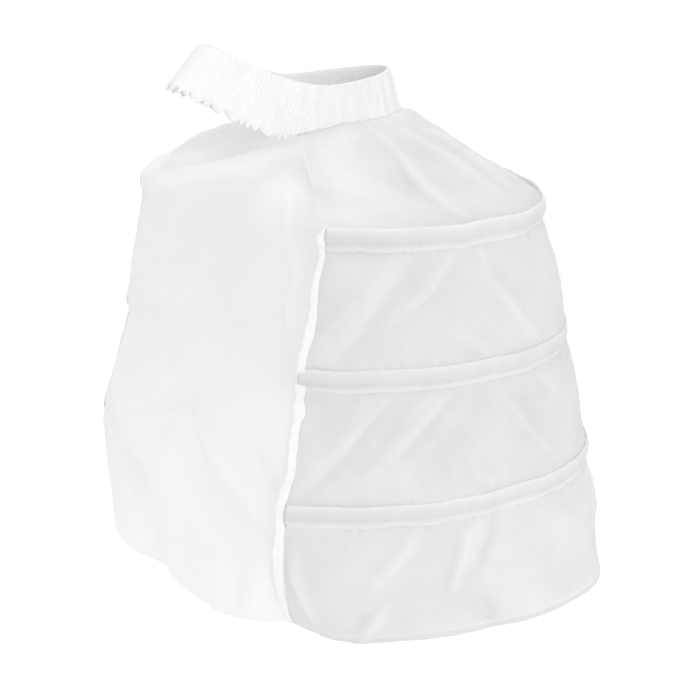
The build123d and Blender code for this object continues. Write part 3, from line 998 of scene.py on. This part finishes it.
# %% [markdown]
# ## Cloth finishes
# Thin nylon lets part of the light through, so the cloth is a mix of a plain matt skin and a translucent
# one. A fine weave and soft crinkles go into the bump. The colour varies a little, in streaks that follow
# the threads, and changes with the number that each point carries: whiter where the cloth lies double,
# painted highlight on fold ridges, casing lips and below the waistband, painted shade in fold and pleat
# valleys and inside the waistband, and greyer where the tape thins out.


# %% Cloth materials
def bare_skin(name):
    """A new material without a finish, its graph, and the wire of places on the piece."""
    skin = bpy.data.materials.new(name)
    skin.use_nodes = True
    tree = skin.node_tree
    tree.nodes.clear()
    return skin, tree, Wire.add(tree, "ShaderNodeTexCoord", out="Object")


def blended(share, first, second):
    """A colour that goes from the first to the second as a wire goes from 0 to 1."""
    return Wire.add(share.tree, "ShaderNodeMix", {"data_type": "RGBA"}, 2, n0=share, n6=first, n7=second)


def cloth_skin(name, colour, glow, weave, crinkle, cover=1.0, thread=0.0007, marked=1.1):
    """A woven cloth; glow is the share of light through it, marked its change of colour at marks of 1."""
    skin, tree, place = bare_skin(name)
    pace = 2 * math.pi / (20 * thread)
    upright, slanted = {"bands_direction": "Z"}, {"bands_direction": "DIAGONAL"}
    up = Wire.add(tree, "ShaderNodeTexWave", upright, "Fac", Vector=place, Scale=pace)
    along = Wire.add(tree, "ShaderNodeTexWave", slanted, "Fac", Vector=place, Scale=pace)
    soft = Wire.add(tree, "ShaderNodeTexNoise", out="Fac", Vector=place, Scale=22.0, Detail=4.0)
    fine = Wire.add(tree, "ShaderNodeTexNoise", out="Fac", Vector=place, Scale=150.0, Detail=2.0)
    hanging = Wire.add(tree, "ShaderNodeMapping", Vector=place, Scale=(1.0, 1.0, 0.12))
    streak = Wire.add(tree, "ShaderNodeTexNoise", out="Fac", Vector=hanging, Scale=60.0, Detail=3.0)
    height = up * along * weave + soft * crinkle + fine * (crinkle * 0.3)
    bump = Wire.add(tree, "ShaderNodeBump", Strength=1.0, Distance=0.001, Height=height)
    mottle = soft * 0.4 + streak * 0.35 + fine * 0.25
    shade = Wire.add(tree, "ShaderNodeMapRange", n0=mottle, n1=0.38, n2=0.62, n3=0.0, n4=1.0)
    darker = tuple(c * 0.945 for c in colour)
    changed = tuple(min(c * marked, 0.97) for c in colour)
    cloth = blended(shade, (*darker, 1), (*colour, 1))
    # The point's mark blends in painted light and shade as well as the whiter colour of doubled cloth.
    layers_and_painted_light = Wire.add(tree, "ShaderNodeAttribute", {"attribute_name": "layers_and_painted_light"}, "Fac")
    tint = blended(layers_and_painted_light, cloth, (*changed, 1))
    matt = Wire.add(
        tree,
        "ShaderNodeBsdfPrincipled",
        Base_Color=tint,
        Roughness=0.75,
        Specular_IOR_Level=0.25,
        Sheen_Weight=0.15,
        Sheen_Roughness=0.5,
        Alpha=cover,
        Normal=bump,
    )
    through = Wire.add(tree, "ShaderNodeBsdfTranslucent", Color=(*colour, 1), Normal=bump)
    both = Wire.add(tree, "ShaderNodeMixShader", n0=glow, n1=matt, n2=through)
    Wire.add(tree, "ShaderNodeOutputMaterial", Surface=both)
    return skin


sheer_nylon = cloth_skin("sheer_nylon", (0.75, 0.75, 0.755), 0.40, 0.10, 1.1, cover=0.95, marked=1.25)
inner_nylon = cloth_skin("inner_nylon", (0.92, 0.92, 0.925), 0.44, 0.10, 1.0, cover=0.95, marked=1.08)
doubled_nylon = cloth_skin("doubled_nylon", (0.80, 0.80, 0.805), 0.15, 0.10, 0.6, marked=1.2)
gathered_nylon = cloth_skin("gathered_nylon", (0.97, 0.97, 0.97), 0.03, 0.08, 0.2, marked=0.87)
bias_tape = cloth_skin("bias_tape", (0.985, 0.985, 0.985), 0.06, 0.12, 0.6, marked=0.93)
woven_tab = cloth_skin("woven_tab", (0.22, 0.21, 0.21), 0.1, 0.15, 0.15, thread=0.0005)
print("cloth finishes", [m.name for m in bpy.data.materials if "nylon" in m.name])


# %% Materials of the hoops, their tips and the elastic
def plain_skin(name, colour, roughness, grain, streak=1.0):
    """A plain finish with faint streaks along it."""
    skin, tree, place = bare_skin(name)
    stretched = Wire.add(tree, "ShaderNodeMapping", Vector=place, Scale=(1.0, 1.0, streak))
    mottle = Wire.add(tree, "ShaderNodeTexNoise", out="Fac", Vector=stretched, Scale=300.0, Detail=3.0)
    darker = tuple(c * 0.9 for c in colour)
    tint = blended(mottle, (*darker, 1), (*colour, 1))
    bump = Wire.add(tree, "ShaderNodeBump", Strength=1.0, Distance=0.0005, Height=mottle * grain)
    surface = Wire.add(
        tree,
        "ShaderNodeBsdfPrincipled",
        Base_Color=tint,
        Roughness=mottle * 0.2 + (roughness - 0.1),
        Normal=bump,
    )
    Wire.add(tree, "ShaderNodeOutputMaterial", Surface=surface)
    return skin


hoop_coating = plain_skin("hoop_coating", (0.9, 0.9, 0.9), 0.35, 0.1, 6.0)
tip_moulding = plain_skin("tip_moulding", (0.88, 0.88, 0.88), 0.45, 0.2)
ribbed_elastic = plain_skin("ribbed_elastic", (0.88, 0.88, 0.87), 0.8, 0.6, 0.1)
hard_finishes = {"waistband_elastic": ribbed_elastic}
for p in hoop_places:
    hard_finishes[f"hoop_{p}"] = hoop_coating
    hard_finishes[f"hoop_tip_{p}_left"] = tip_moulding
    hard_finishes[f"hoop_tip_{p}_right"] = tip_moulding
for name, skin in hard_finishes.items():
    nodes[name].data.materials.clear()
    nodes[name].data.materials.append(skin)
print("hard finishes on", len(hard_finishes), "pieces")

# %% [markdown]
# ## Putting the pieces on the frame
# Each cloth piece rides on the cage's one body and takes the place of its solid.


# %% Dress the frame
def dress(piece, node, skin):
    """Puts a cloth piece in its solid's place, gives it its finish and hangs it on the cage's body."""
    piece.data.materials.append(skin)
    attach(piece, "root")
    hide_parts(node)


for i, name in enumerate(tier_names):
    dress(tiers[name], name, sheer_nylon)
dress(inner_panel, "inner_panel", inner_nylon)
for i, p in enumerate(hoop_places):
    dress(casings[p], f"hoop_casing_{p}", doubled_nylon)
for name, piece in bindings.items():
    dress(piece, name, bias_tape)
dress(waistband, "waistband_casing", gathered_nylon)
dress(label, "blank_label", woven_tab)
